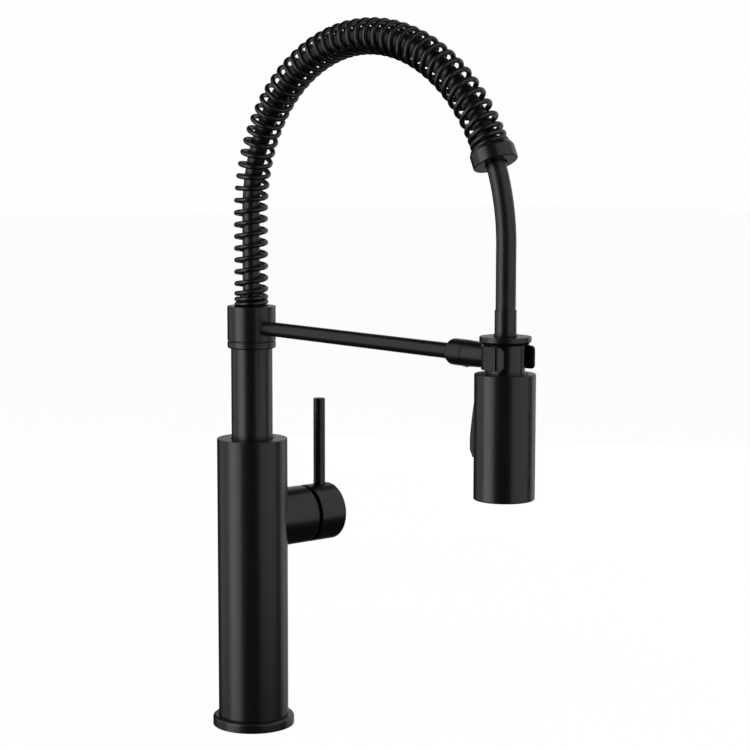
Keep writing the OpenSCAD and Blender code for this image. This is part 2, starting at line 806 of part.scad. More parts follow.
// Tube with rounded ends and a window for the trigger on the side that faces the body
module head_shell() {
    edge = 0.8;
    window_w = trigger_w + 0.8;
    color(black) at_head(0) difference() {
        rotate_extrude() difference() {
            union() {
                translate([head_bore_r, head_z0 + edge]) square([head_wall, head_z1 - head_z0 - 2 * edge]);
                translate([head_bore_r, head_z0]) square([head_wall - edge, head_z1 - head_z0]);
                translate([lip_r, head_z1 - lip_h]) square([head_bore_r - lip_r + 1, lip_h]);
                translate([head_r - edge, head_z0 + edge]) circle(r = edge, $fn = 32);
                translate([head_r - edge, head_z1 - edge]) circle(r = edge, $fn = 32);
            }
            translate([0, head_z0 - 1]) square([head_bore_r, head_z1 - lip_h - head_z0 + 1]);
        }
        translate([-window_w / 2, 5, trigger_z0 - 1.4])
            cube([window_w, 30, trigger_z1 - trigger_z0 + 1.9]);
    }
}

// Plastic core: water passes down its middle, past the plunger, to the face
module spray_waterway() {
    core_r = 15;
    flat_y = 11.3;
    rib_h = 5;
    lug_w = 2.6;
    duct = 4.5;
    color("#3a3a3d") at_head(0) difference() {
        union() {
            difference() {
                translate([0, 0, waterway_z0]) cylinder(h = plug_z0 - 0.1 - waterway_z0, r = core_r);
                translate([-20, flat_y, waterway_z0 + 6.8]) cube([40, 20, 50]);
            }
            translate([0, 0, waterway_z0]) cylinder(h = rib_h, r = head_bore_r - 0.1);
            translate([0, 0, plug_z0 - 0.1 - rib_h]) cylinder(h = rib_h, r = head_bore_r - 0.1);
            for (side = [-1, 1])
                translate([side * (lug_x + 1.8) - lug_w / 2, 8, trigger_pivot_z - 3])
                    cube([lug_w, 7.6, 6]);
        }
        translate([0, 0, waterway_z0 - 1]) cylinder(h = 80, r = duct);
        translate([0, 12, plunger_z]) rotate([90, 0, 0]) cylinder(h = 17, r = plunger_r + 0.05);
        translate([-20, trigger_pivot_y, trigger_pivot_z]) rotate([0, 90, 0])
            cylinder(h = 40, r = trigger_pin_r + 0.02);
    }
}

module trigger_pin() {
    color("#c8c8c8") at_head(trigger_pivot_z) translate([-8.6, trigger_pivot_y, 0])
        rotate([0, 90, 0]) cylinder(h = 17.2, r = trigger_pin_r);
}

// Paddle: flush at the top, proud and cut back at its lower end
module spray_trigger() {
    paddle_crown_r = 60;
    paddle_crown_y = 24.2;
    paddle_outline = [[16.4, 37.2], [19.6, 37.2], [21.4, 27.2], [23.2, 15.2],
                      [24, 6.7], [23.6, 5.2], [20.6, 0], [16.4, 0]];
    color("#242426") at_head(0) difference() {
        union() {
            intersection() {
                translate([-trigger_w / 2, 0, 0]) rotate([90, 0, 90]) linear_extrude(trigger_w)
                    translate([0, trigger_z0]) polygon(paddle_outline);
                translate([0, paddle_crown_y - paddle_crown_r, trigger_z0 - 1])
                    cylinder(h = 40, r = paddle_crown_r);
            }
            translate([-lug_x, 11.7, trigger_pivot_z - 1.9]) cube([2 * lug_x, 5.2, 3.8]);
        }
        translate([-20, trigger_pivot_y, trigger_pivot_z]) rotate([0, 90, 0])
            cylinder(h = 40, r = trigger_pin_r + 0.05);
    }
}

module diverter_plunger() {
    color("#e8e4da") at_head(plunger_z) translate([0, 16.1, 0]) rotate([90, 0, 0])
        cylinder(h = 13, r = plunger_r);
}

module trigger_return_spring() {
    color("#c8c8c8") at_head(plunger_z) translate([0, 3, 0]) rotate([90, 0, 0]) ring(2.2, 1.6, 7.8);
}

module flow_straightener() {
    h = 3.8;
    color("#e8e4da") at_head(face_z1 + 0.2) difference() {
        cylinder(h = h, r = 9);
        for (a = [0:60:300]) rotate([0, 0, a]) translate([5.2, 0, -1]) cylinder(h = h + 2, r = 1.6);
    }
}

// Face with a central outlet and two rings of nozzles
module spray_face() {
    nozzle_rings = [[9.5, 14], [13, 20]];
    nozzle_r = 0.9;
    outlet_r = 5.5;
    color("#2c2c2e") at_head(0) difference() {
        union() {
            translate([0, 0, face_z0]) cylinder(h = face_z1 - face_z0, r = face_r - 0.1);
            for (row = nozzle_rings) for (i = [1:row[1]])
                rotate([0, 0, 360 * i / row[1]]) translate([row[0], 0, face_z0 - 1])
                    cylinder(h = 1.2, r = nozzle_r, $fn = 16);
        }
        translate([0, 0, face_z0 - 2]) cylinder(h = 10, r = outlet_r);
    }
}

module face_ring() {
    rim_h = 1.5;
    color(black) at_head(face_z0 - rim_h - 0.1) difference() {
        cylinder(h = 10, r = head_bore_r - 0.1);
        translate([0, 0, -1]) cylinder(h = rim_h + 2, r = face_r - 1);
        translate([0, 0, rim_h]) cylinder(h = 10, r = face_r);
    }
}

base_flange();
deck_gasket();
mounting_ring();
mixer_body();
valve_housing();
mixing_block();
bearing_carrier();
lower_glide_ring();
upper_glide_ring();
riser_o_rings();
cartridge_body();
cartridge_seals();
fixed_ceramic_disc();
cartridge_nut();
valve_bonnet();
moving_ceramic_disc();
cartridge_carrier();
stem_pin();
lever_stem();
handle_hub();
lever_rod();
hub_grub_screw();
riser_tube();
riser_retaining_ring();
hose_inlet_nipple();
nipple_o_rings();
inlet_ferrule();
stop_ring();
collar();
collar_grub_screws();
spring_seat();
coil_spring();
upper_hose();
spring_cap();
docking_arm();
arm_sleeve();
sleeve_grub_screw();
dock_clip();
clip_liner();
lower_hose();
hose_ferrule();
swivel_stem();
stem_o_rings();
head_cap();
head_shell();
spray_waterway();
swivel_retainer();
trigger_pin();
trigger_return_spring();
flow_straightener();
spray_face();
face_ring();
spray_trigger();
diverter_plunger();
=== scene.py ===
import json
import math

import bmesh
import bpy
from mathutils import Matrix, Vector


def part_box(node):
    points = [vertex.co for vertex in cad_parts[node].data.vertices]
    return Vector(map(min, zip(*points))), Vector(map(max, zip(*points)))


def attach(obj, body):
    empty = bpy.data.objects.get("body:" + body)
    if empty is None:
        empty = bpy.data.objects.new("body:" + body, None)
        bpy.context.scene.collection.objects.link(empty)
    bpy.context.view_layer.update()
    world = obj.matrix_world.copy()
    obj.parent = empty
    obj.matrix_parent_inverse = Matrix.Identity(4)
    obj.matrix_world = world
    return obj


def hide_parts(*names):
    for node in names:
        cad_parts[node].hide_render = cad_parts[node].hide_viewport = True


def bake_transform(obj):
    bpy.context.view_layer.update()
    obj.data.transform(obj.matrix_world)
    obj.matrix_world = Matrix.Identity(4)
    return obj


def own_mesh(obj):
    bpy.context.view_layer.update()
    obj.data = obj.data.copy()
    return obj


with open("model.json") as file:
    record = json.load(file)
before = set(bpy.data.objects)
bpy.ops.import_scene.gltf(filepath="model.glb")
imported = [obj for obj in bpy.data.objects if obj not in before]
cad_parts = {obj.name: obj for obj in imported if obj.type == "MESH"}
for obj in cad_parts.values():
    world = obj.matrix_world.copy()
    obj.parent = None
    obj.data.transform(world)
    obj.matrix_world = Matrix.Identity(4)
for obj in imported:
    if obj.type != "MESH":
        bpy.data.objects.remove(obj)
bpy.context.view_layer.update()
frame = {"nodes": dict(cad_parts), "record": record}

# Everything below is worked out in millimetres and scaled once, when a mesh is made.
MM = 0.001
ROUND = 128


# ---------------------------------------------------------------- sizes from the frame

def low(node, axis):
    """Lowest coordinate of a CAD node along axis 0, 1 or 2, in millimetres."""
    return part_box(node)[0][axis] / MM


def high(node, axis):
    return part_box(node)[1][axis] / MM


def radius(node, axis=0):
    """Half of a round CAD node's width along an axis, in millimetres."""
    return (high(node, axis) - low(node, axis)) / 2


FLANGE_R = radius("base_flange")
FLANGE_H = high("base_flange", 2)
BODY_R = radius("mixer_body", 1)
BODY_TOP = high("mixer_body", 2)
BODY_WALL = 3
BODY_BORE_R = BODY_R - BODY_WALL
RISER_R = radius("riser_tube")
COLLAR_R = radius("collar")
COLLAR_Z0 = low("collar", 2)
COLLAR_TOP = high("collar", 2)
VALVE_Z = (low("handle_hub", 2) + high("handle_hub", 2)) / 2
VALVE_R = radius("handle_hub", 1)
VALVE_FACE_X = high("valve_housing", 0)
HUB_X0 = low("handle_hub", 0)
HUB_X1 = high("handle_hub", 0)
LEVER_X = (low("lever_rod", 0) + high("lever_rod", 0)) / 2
LEVER_R = radius("lever_rod")
LEVER_TOP = high("lever_rod", 2)
ARM_R = radius("docking_arm")
ARM_Z = (low("docking_arm", 2) + high("docking_arm", 2)) / 2
HEAD_Y = (low("head_cap", 1) + high("head_cap", 1)) / 2
REACH = -HEAD_Y
HEAD_R = radius("head_shell")
HEAD_Z0 = low("head_shell", 2)
HEAD_Z1 = high("head_shell", 2)
HEAD_WALL = 2.3
HEAD_BORE_R = HEAD_R - HEAD_WALL
DISC_H = 5.4
DISC_Z1 = high("head_cap", 2)
DISC_Z0 = DISC_Z1 - DISC_H
DISC_R = 17.3
NECK_R = 13.15
HOSE_R = radius("upper_hose")
CLIP_R = radius("dock_clip")
CLIP_WALL = 1.1
CLIP_Z0 = low("dock_clip", 2)
CLIP_Z1 = high("dock_clip", 2)
JAW_LEN = HEAD_Y - low("dock_clip", 1)
LINER_WALL = 1.35
LINER_R = radius("clip_liner")
LINER_BORE_R = LINER_R - LINER_WALL
LINER_JAW_LEN = HEAD_Y - low("clip_liner", 1)

# Gaps between pieces that touch on the real object, and the overshoot of a cutting shape
CLOSE_FIT = 0.1
SNUG_FIT = 0.05
PAST = 5

# Arch, as in the CAD source: straight up, three arcs, straight down
ARCH_START_Z = 398.6
RISE_R, RISE_ANGLE = 125.0, 55.0
CROWN_R, CROWN_ANGLE = 147.0, 72.0
SPRING_D = 26.2
WIRE_D = 3.8
WIRE_STEPS_PER_TURN = 44
WIRE_SIDES = 14
HOSE_SIDES = 40
CAP_S = 437.6
CAP_LEN = 12.0
# Turns of the spring, and how far along the route from the collar's top they are
COIL_STATIONS = [
    (0, 0.7), (2, 8.4), (3, 15.7), (4, 24.7), (20, 168.7),
    (47, 419.2), (48, 427), (49, 432.3), (50, 436.5), (51, 440.7),
]


# ---------------------------------------------------------------- camera

CAMERA_AT = Vector((-913.77, -1240.28, 456.36)) * MM
CAMERA_HEADING = math.radians(39.91)
CAMERA_PITCH = math.radians(6.723)
CAMERA_ROLL = math.radians(0.09)
CAMERA_LENS = 96.5


def make_camera():
    data = bpy.data.cameras.new("camera")
    data.lens = CAMERA_LENS
    data.sensor_width = 36.0
    data.clip_end = 50.0
    camera = bpy.data.objects.new("camera", data)
    bpy.context.scene.collection.objects.link(camera)
    turn = Matrix.Rotation(-CAMERA_HEADING, 4, "Z")
    tilt = Matrix.Rotation(math.pi / 2 - CAMERA_PITCH, 4, "X")
    roll = Matrix.Rotation(CAMERA_ROLL, 4, "Z")
    camera.matrix_world = Matrix.Translation(CAMERA_AT) @ turn @ tilt @ roll
    bpy.context.scene.camera = camera


# ---------------------------------------------------------------- materials

class Nodes:
    """A material's node tree, with short calls for the nodes used here."""

    def __init__(self, name):
        self.material = bpy.data.materials.new(name)
        self.material.use_nodes = True
        self.tree = self.material.node_tree
        self.shader = self.tree.nodes["Principled BSDF"]
        self.where = self.tree.nodes.new("ShaderNodeTexCoord").outputs["Object"]

    def link(self, a, b):
        self.tree.links.new(a, b)

    def noise(self, scale, detail=2.0, stretch=None):
        node = self.tree.nodes.new("ShaderNodeTexNoise")
        node.inputs["Scale"].default_value = scale
        node.inputs["Detail"].default_value = detail
        source = self.where
        if stretch:
            mapping = self.tree.nodes.new("ShaderNodeMapping")
            mapping.inputs["Scale"].default_value = stretch
            self.link(self.where, mapping.inputs["Vector"])
            source = mapping.outputs["Vector"]
        self.link(source, node.inputs["Vector"])
        return node.outputs["Fac"]

    def ramp(self, fac, stops):
        node = self.tree.nodes.new("ShaderNodeValToRGB")
        ramp = node.color_ramp
        while len(ramp.elements) < len(stops):
            ramp.elements.new(0.5)
        for element, (place, colour) in zip(ramp.elements, stops):
            element.position = place
            element.color = (*colour, 1.0)
        self.link(fac, node.inputs["Fac"])
        return node.outputs["Color"]

    def spread(self, fac, low_value, high_value):
        node = self.tree.nodes.new("ShaderNodeMapRange")
        node.inputs["To Min"].default_value = low_value
        node.inputs["To Max"].default_value = high_value
        self.link(fac, node.inputs["Value"])
        return node.outputs["Result"]

    def bump(self, height, strength, distance, after=None):
        node = self.tree.nodes.new("ShaderNodeBump")
        node.inputs["Strength"].default_value = strength
        node.inputs["Distance"].default_value = distance
        self.link(height, node.inputs["Height"])
        if after:
            self.link(after, node.inputs["Normal"])
        return node.outputs["Normal"]


def grey(value):
    return (value, value, value * 1.04)


def satin_black():
    """Matte black coating on metal: fine grain, slight cloudiness in gloss."""
    n = Nodes("satin_black")
    cloud = n.noise(40.0, 3.0)
    grain = n.noise(5200.0, 2.0)
    colour = n.ramp(cloud, [(0.3, grey(0.0055)), (0.7, grey(0.0075))])
    n.link(colour, n.shader.inputs["Base Color"])
    n.link(n.spread(cloud, 0.27, 0.32), n.shader.inputs["Roughness"])
    n.shader.inputs["Metallic"].default_value = 0.0
    n.shader.inputs["Specular IOR Level"].default_value = 0.62
    n.link(n.bump(grain, 0.10, 0.00004), n.shader.inputs["Normal"])
    return n.material


def hose_jacket():
    """Smooth black jacket of the hose, with faint ripples along it."""
    n = Nodes("hose_jacket")
    ripple = n.noise(220.0, 2.0)
    grain = n.noise(4200.0, 2.0)
    colour = n.ramp(ripple, [(0.3, grey(0.008)), (0.7, grey(0.012))])
    n.link(colour, n.shader.inputs["Base Color"])
    n.link(n.spread(ripple, 0.30, 0.38), n.shader.inputs["Roughness"])
    n.shader.inputs["Specular IOR Level"].default_value = 0.6
    soft = n.bump(ripple, 0.06, 0.0004)
    n.link(n.bump(grain, 0.08, 0.00004, soft), n.shader.inputs["Normal"])
    return n.material


def moulded(name, dark, light, rough, grain_scale=2600.0):
    """Moulded plastic or rubber: spark-eroded grain and slight colour drift."""
    n = Nodes(name)
    drift = n.noise(60.0, 2.0)
    grain = n.noise(grain_scale, 3.0)
    n.link(n.ramp(drift, [(0.3, dark), (0.7, light)]), n.shader.inputs["Base Color"])
    n.link(n.spread(grain, rough - 0.06, rough + 0.06), n.shader.inputs["Roughness"])
    n.link(n.bump(grain, 0.15, 0.00006), n.shader.inputs["Normal"])
    return n.material


def machined(name, dark, light, rough):
    """Turned metal: fine lines round the part and a little tarnish."""
    n = Nodes(name)
    lines = n.noise(180.0, 4.0, stretch=(1.0, 1.0, 60.0))
    tarnish = n.noise(90.0, 3.0)
    n.link(n.ramp(tarnish, [(0.3, dark), (0.75, light)]), n.shader.inputs["Base Color"])
    n.link(n.spread(lines, rough - 0.08, rough + 0.1), n.shader.inputs["Roughness"])
    n.shader.inputs["Metallic"].default_value = 1.0
    n.link(n.bump(lines, 0.12, 0.00005), n.shader.inputs["Normal"])
    return n.material


def make_materials():
    return {
        "matte_black": satin_black(),
        "hose_jacket": hose_jacket(),
        "seal_rubber": moulded("seal_rubber", grey(0.012), grey(0.02), 0.62),
        "brass": machined("brass", (0.50, 0.36, 0.14), (0.72, 0.55, 0.27), 0.32),
        "stainless_steel": machined("stainless_steel", grey(0.42), grey(0.60), 0.30),
        "ceramic": moulded("ceramic", (0.82, 0.81, 0.77), (0.90, 0.89, 0.86), 0.22, 5000.0),
        "white_acetal": moulded("white_acetal", (0.78, 0.76, 0.70), (0.86, 0.85, 0.80), 0.42),
        "black_plastic": moulded("black_plastic", grey(0.011), grey(0.016), 0.40),
    }


# ---------------------------------------------------------------- mesh helpers

def rounded(corners, steps=5):
    """Closed outline through corners (x, y, fillet radius), with an arc at each fillet."""
    outline = []
    for i, (x, y, fillet) in enumerate(corners):
        here = Vector((x, y))
        if fillet <= 0:
            outline.append(here)
            continue
        before = (Vector(corners[i - 1][:2]) - here).normalized()
        after = (Vector(corners[(i + 1) % len(corners)][:2]) - here).normalized()
        half = before.angle(after) / 2
        setback = fillet / math.tan(half)
        centre = here + (before + after).normalized() * (fillet / math.sin(half))
        start = here + before * setback - centre
        end = here + after * setback - centre
        sweep = start.angle_signed(end)
        for k in range(steps + 1):
            turned = start.copy()
            turned.rotate(Matrix.Rotation(-sweep * k / steps, 2))
            outline.append(centre + turned)
    return outline


def new_object(name, mesh):
    obj = bpy.data.objects.new(name, mesh)
    bpy.context.scene.collection.objects.link(obj)
    return obj


def from_bmesh(name, bm, place):
    """Makes an object from a bmesh in millimetres, put in place and scaled to metres."""
    bmesh.ops.remove_doubles(bm, verts=bm.verts, dist=1e-5)
    bmesh.ops.recalc_face_normals(bm, faces=bm.faces)
    mesh = bpy.data.meshes.new(name)
    bm.to_mesh(mesh)
    bm.free()
    mesh.transform(Matrix.Scale(MM, 4) @ place)
    return new_object(name, mesh)


def lathe(name, outline, place=Matrix.Identity(4), segments=ROUND):
    """Turns a closed outline of (radius, height) about the local Z axis."""
    bm = bmesh.new()
    rings = []
    for r, h in outline:
        if r < 1e-6:
            rings.append([bm.verts.new((0, 0, h))] * segments)
            continue
        angles = (2 * math.pi * k / segments for k in range(segments))
        rings.append([bm.verts.new((r * math.cos(a), r * math.sin(a), h)) for a in angles])
    for i, ring in enumerate(rings):
        other = rings[(i + 1) % len(rings)]
        for k in range(segments):
            m = (k + 1) % segments
            corners = list(dict.fromkeys((ring[k], ring[m], other[m], other[k])))
            if len(corners) > 2:
                bm.faces.new(corners)
    return from_bmesh(name, bm, place)


def tube(name, rings):
    """A closed skin through rings of points that all have the same number of points."""
    bm = bmesh.new()
    made = [[bm.verts.new(p) for p in ring] for ring in rings]
    for a, b in zip(made, made[1:]):
        for k in range(len(a)):
            m = (k + 1) % len(a)
            bm.faces.new((a[k], a[m], b[m], b[k]))
    bm.faces.new(made[0])
    bm.faces.new(made[-1])
    return from_bmesh(name, bm, Matrix.Identity(4))


def prism(name, outline, height, place=Matrix.Identity(4)):
    """Raises a closed outline by height along the local Z axis."""
    bm = bmesh.new()
    foot = [bm.verts.new((x, y, 0)) for x, y in outline]
    top = [bm.verts.new((x, y, height)) for x, y in outline]
    bm.faces.new(foot)
    bm.faces.new(top)
    for k in range(len(foot)):
        m = (k + 1) % len(foot)
        bm.faces.new((foot[k], foot[m], top[m], top[k]))
    return from_bmesh(name, bm, place)


def apply_modifiers(obj):
    graph = bpy.context.evaluated_depsgraph_get()
    mesh = bpy.data.meshes.new_from_object(obj.evaluated_get(graph))
    obj.modifiers.clear()
    obj.data = mesh


def combine(obj, other, operation):
    """Boolean of two objects; the other one is used up."""
    modifier = obj.modifiers.new("combine", "BOOLEAN")
    modifier.operation = operation
    modifier.solver = "EXACT"
    modifier.object = other
    apply_modifiers(obj)
    bpy.data.objects.remove(other)
    return obj


def cut(obj, other):
    return combine(obj, other, "DIFFERENCE")


def join(obj, other):
    """Adds another object's mesh to obj; both are in the same place."""
    bm = bmesh.new()
    bm.from_mesh(obj.data)
    bm.from_mesh(other.data)
    bm.to_mesh(obj.data)
    bm.free()
    bpy.data.objects.remove(other)


def bevel(obj, width, angle=40.0):
    modifier = obj.modifiers.new("bevel", "BEVEL")
    modifier.width = width * MM
    modifier.segments = 3
    modifier.limit_method = "ANGLE"
    modifier.angle_limit = math.radians(angle)
    modifier.harden_normals = False
    apply_modifiers(obj)
    return obj


def smooth(obj, angle=32.0):
    """Smooth shading that keeps edges sharper than the angle and flat faces flat."""
    obj.data.shade_smooth()
    obj.data.set_sharp_from_angle(angle=math.radians(angle))
    modifier = obj.modifiers.new("normals", "WEIGHTED_NORMAL")
    modifier.keep_sharp = True
    modifier.weight = 80
    return obj


def upright(x=0.0, y=0.0, z=0.0):
    return Matrix.Translation((x, y, z))


def along_x(x):
    """Local Z runs along +X on the valve's axis."""
    return Matrix.Translation((x, 0, VALVE_Z)) @ Matrix.Rotation(math.pi / 2, 4, "Y")


# Local Z runs along -Y on the docking arm's axis
ALONG_ARM = Matrix.Translation((0, 0, ARM_Z)) @ Matrix.Rotation(math.pi / 2, 4, "X")
# Turns an outline of (Y, Z) so that prism() raises it along +X
YZ_TO_XY = Matrix(((0, 0, 1, 0), (1, 0, 0, 0), (0, 1, 0, 0), (0, 0, 0, 1)))


def rod(r, z0, z1):
    """Outline for lathe() of a solid cylinder."""
    return [(0, z0), (r, z0), (r, z1), (0, z1)]


# ---------------------------------------------------------------- route of the spring

def arc_step(r, start, end):
    """Move out and up along an arc of the route between two headings in degrees."""
    a, b = math.radians(start), math.radians(end)
    return Vector((r * (math.sin(a) - math.sin(b)), r * (math.cos(b) - math.cos(a))))


LEG_UP = ARCH_START_Z - COLLAR_TOP
RISE_END = 90.0 - RISE_ANGLE
CROWN_END = RISE_END - CROWN_ANGLE
REACH_BEFORE_FALL = (
    arc_step(RISE_R, 90, RISE_END).x + arc_step(CROWN_R, RISE_END, CROWN_END).x
)
FALL_R = (REACH - REACH_BEFORE_FALL) / (1 + math.sin(math.radians(CROWN_END)))


def lay_arcs():
    """Each arc's start along the route, radius, first and last heading; and the last one's end."""
    arcs, s = [], LEG_UP
    for r, first, last in (
        (RISE_R, 90.0, RISE_END),
        (CROWN_R, RISE_END, CROWN_END),
        (FALL_R, CROWN_END, -90.0),
    ):
        arcs.append((s, r, first, last))
        s += r * math.radians(first - last)
    return arcs, s


ARCS, FALL_END_S = lay_arcs()


def route(s):
    """(distance out along -Y, height, heading in degrees) at distance s from the collar's top."""
    if s < LEG_UP:
        return 0.0, COLLAR_TOP + s, 90.0
    place = Vector((0.0, ARCH_START_Z))
    for start, r, first, last in ARCS:
        heading = max(last, first - math.degrees((s - start) / r))
        place = place + arc_step(r, first, heading)
        if heading > last:
            return place.x, place.y, heading
    return place.x, place.y - (s - FALL_END_S), -90.0


def beside_route(s, u, w):
    """Point of the route moved u outwards from the arch and w along -X."""
    out, height, heading = route(s)
    h = math.radians(heading)
    return Vector((-w, -out + u * math.sin(h), height + u * math.cos(h)))


def on_route(s):
    """Local Z runs along the route at distance s."""
    out, height, heading = route(s)
    turn = Matrix.Rotation(math.radians(90 - heading), 4, "X")
    return Matrix.Translation((0, -out, height)) @ turn


def hose_rings(s0, s1, count):
    """Rings of the hose's skin at even steps of the route from s0 to s1."""
    rings = []
    for i in range(count + 1):
        s = s0 + (s1 - s0) * i / count
        angles = (2 * math.pi * k / HOSE_SIDES for k in range(HOSE_SIDES))
        rings.append([
            beside_route(s, HOSE_R * math.cos(a), HOSE_R * math.sin(a)) for a in angles
        ])
    return rings


def coil_place(turns):
    """Distance along the route after a number of turns of the spring."""
    for (n0, s0), (n1, s1) in zip(COIL_STATIONS, COIL_STATIONS[1:]):
        if turns <= n1:
            return s0 + (s1 - s0) * (turns - n0) / (n1 - n0)
    return COIL_STATIONS[-1][1]


def coil_centre(turns):
    a = 2 * math.pi * turns
    r = (SPRING_D - WIRE_D) / 2
    return beside_route(coil_place(turns), r * math.cos(a), r * math.sin(a))


def wire_rings():
    """Rings of the spring wire, square to the wire."""
    first, last = COIL_STATIONS[0][0], COIL_STATIONS[-1][0]
    nearby = 0.004
    rings = []
    for i in range(round((last - first) * WIRE_STEPS_PER_TURN) + 1):
        n = first + i / WIRE_STEPS_PER_TURN
        centre = coil_centre(n)
        ahead, behind = coil_centre(min(n + nearby, last)), coil_centre(max(n - nearby, first))
        along = (ahead - behind).normalized()
        out = (centre - beside_route(coil_place(n), 0, 0)).normalized()
        side = along.cross(out).normalized()
        out = side.cross(along)
        r = WIRE_D / 2
        angles = (2 * math.pi * k / WIRE_SIDES for k in range(WIRE_SIDES))
        rings.append([centre + r * (math.cos(a) * out + math.sin(a) * side) for a in angles])
    return rings


# ---------------------------------------------------------------- pieces

def base_flange():
    """Deck ring with an upright side, a rounded top edge and the gasket's groove below."""
    bore = BODY_BORE_R + CLOSE_FIT
    groove_r0, groove_r1, groove_depth = 25.9, 30.1, 1.6
    outline = rounded([
        (bore, 0, 0), (groove_r0, 0, 0), (groove_r0, groove_depth, 0),
        (groove_r1, groove_depth, 0), (groove_r1, 0, 0),
        (FLANGE_R, 0, 0.5), (FLANGE_R, FLANGE_H, 2.0), (bore, FLANGE_H, 0),
    ], steps=8)
    return lathe("flange_ring", outline)


def mixer_body():
    """Body tube and valve housing, joined, with the riser's hole in the flat top."""
    hole_r = RISER_R + 0.55
    mouth_r = hole_r + 0.4
    top_wall = 5
    valve_bore_r, valve_bore_x0, valve_bore_x1 = 19.5, 13, 80
    shell = lathe("body_tube", rounded([
        (0, FLANGE_H, 0), (BODY_R, FLANGE_H, 0.3), (BODY_R, BODY_TOP, 0.35), (0, BODY_TOP, 0),
    ], steps=3), segments=192)
    stub = lathe("stub", rounded([
        (0, 0, 0), (VALVE_R, 0, 0), (VALVE_R, VALVE_FACE_X, 0.35), (0, VALVE_FACE_X, 0),
    ], steps=3), along_x(0), segments=160)
    combine(shell, stub, "UNION")
    cavity = rod(BODY_BORE_R, FLANGE_H - PAST, BODY_TOP - top_wall)
    cut(shell, lathe("cavity", cavity, segments=128))
    cut(shell, lathe("riser_hole", rounded([
        (0, BODY_TOP - 2 * top_wall, 0), (hole_r, BODY_TOP - 2 * top_wall, 0),
        (hole_r, BODY_TOP - 0.3, 0), (mouth_r, BODY_TOP + 0.1, 0),
        (mouth_r, BODY_TOP + PAST, 0), (0, BODY_TOP + PAST, 0),
    ]), segments=128))
    valve_bore = rod(valve_bore_r, valve_bore_x0, valve_bore_x1)
    cut(shell, lathe("valve_bore", valve_bore, along_x(0), segments=128))
    return shell


def handle_hub():
    """Round hub with a rounded outer edge, hollow towards the bonnet."""
    length = HUB_X1 - HUB_X0
    hollow_r, hollow_depth = VALVE_R - 2.2, 6.6
    outer_edge = 2.2
    hub = lathe("hub", rounded([
        (0, hollow_depth, 0), (hollow_r, hollow_depth, 0.8), (hollow_r, 0, 0), (VALVE_R, 0, 0.35),
        (VALVE_R, length, outer_edge), (0, length, 0),
    ], steps=8), along_x(HUB_X0), segments=160)
    # Heights from here on are from the valve's axis
    seat_r, seat_floor, seat_top = LEVER_R + 0.7, 16, 40
    cut(hub, lathe("lever_hole", rounded([
        (0, seat_floor, 0), (seat_r, seat_floor, 0), (seat_r, seat_top, 0), (0, seat_top, 0),
    ]), upright(LEVER_X, 0, VALVE_Z), segments=64))
    screw_r, screw_bottom, screw_top, screw_x = 2.55, -30, -3.6, 60
    screw_hole = rod(screw_r, screw_bottom, screw_top)
    cut(hub, lathe("screw_hole", screw_hole, upright(screw_x, 0, VALVE_Z), segments=32))
    return hub


def lever_rod():
    """Straight lever that stands in the hub's seat."""
    foot = VALVE_Z + 16.1
    return lathe("lever", rounded([
        (0, foot, 0), (LEVER_R, foot, 0), (LEVER_R, LEVER_TOP, 0.6), (0, LEVER_TOP, 0),
    ]), upright(LEVER_X), segments=64)


def riser_tube():
    z0, z1 = low("riser_tube", 2), high("riser_tube", 2)
    wall = 2
    inner = RISER_R - wall
    return lathe("riser", rounded([
        (inner, z0, 0), (RISER_R, z0, 0.4), (RISER_R, z1, 0.3), (inner, z1, 0),
    ], steps=3))


def stop_ring():
    z0, z1 = low("stop_ring", 2), high("stop_ring", 2)
    bore = RISER_R + SNUG_FIT
    chamfer = 0.9
    return lathe("collar_stop_ring", rounded([
        (bore, z0, 0), (COLLAR_R - chamfer, z0, 0.3), (COLLAR_R, z0 + chamfer, 0.3),
        (COLLAR_R, z1, 0.3), (bore, z1, 0),
    ], steps=3))


def collar():
    """Collar with the riser's socket below, the spring's recess above, the arm's seat in front."""
    passage_r = 8.4
    socket_r, socket_top = RISER_R + SNUG_FIT, COLLAR_Z0 + 4
    recess_r, recess_floor = 13.5, COLLAR_TOP - 1.3
    piece = lathe("collar_shell", rounded([
        (passage_r, socket_top, 0), (socket_r, socket_top, 0), (socket_r, COLLAR_Z0, 0),
        (COLLAR_R, COLLAR_Z0, 0.3), (COLLAR_R, COLLAR_TOP, 0.35), (recess_r, COLLAR_TOP, 0.2),
        (recess_r, recess_floor, 0), (passage_r, recess_floor, 0),
    ], steps=3), segments=160)
    spigot_r, spigot_start = 4.05, 8
    seat_r, seat_face, seat_end = ARM_R + 0.7, COLLAR_R - 1.3, 40
    cut(piece, lathe("arm_seat", rounded([
        (0, spigot_start, 0), (spigot_r, spigot_start, 0), (spigot_r, seat_face, 0),
        (seat_r, seat_face, 0), (seat_r, seat_end, 0), (0, seat_end, 0),
    ]), ALONG_ARM, segments=64))
    return piece


def coil_spring():
    return tube("spring_wire", wire_rings())


def upper_hose():
    """Hose from inside the riser, through the spring, to the end of the cap."""
    start = low("upper_hose", 2) - COLLAR_TOP
    return tube("hose_in_spring", hose_rings(start, CAP_S + CAP_LEN, 180))


def lower_hose():
    """Free hose from the end of the cap down to the ferrule."""
    start = CAP_S + CAP_LEN + CLOSE_FIT
    end = FALL_END_S + route(FALL_END_S)[1] - low("lower_hose", 2)
    return tube("hose_free_stretch", hose_rings(start, end, 60))


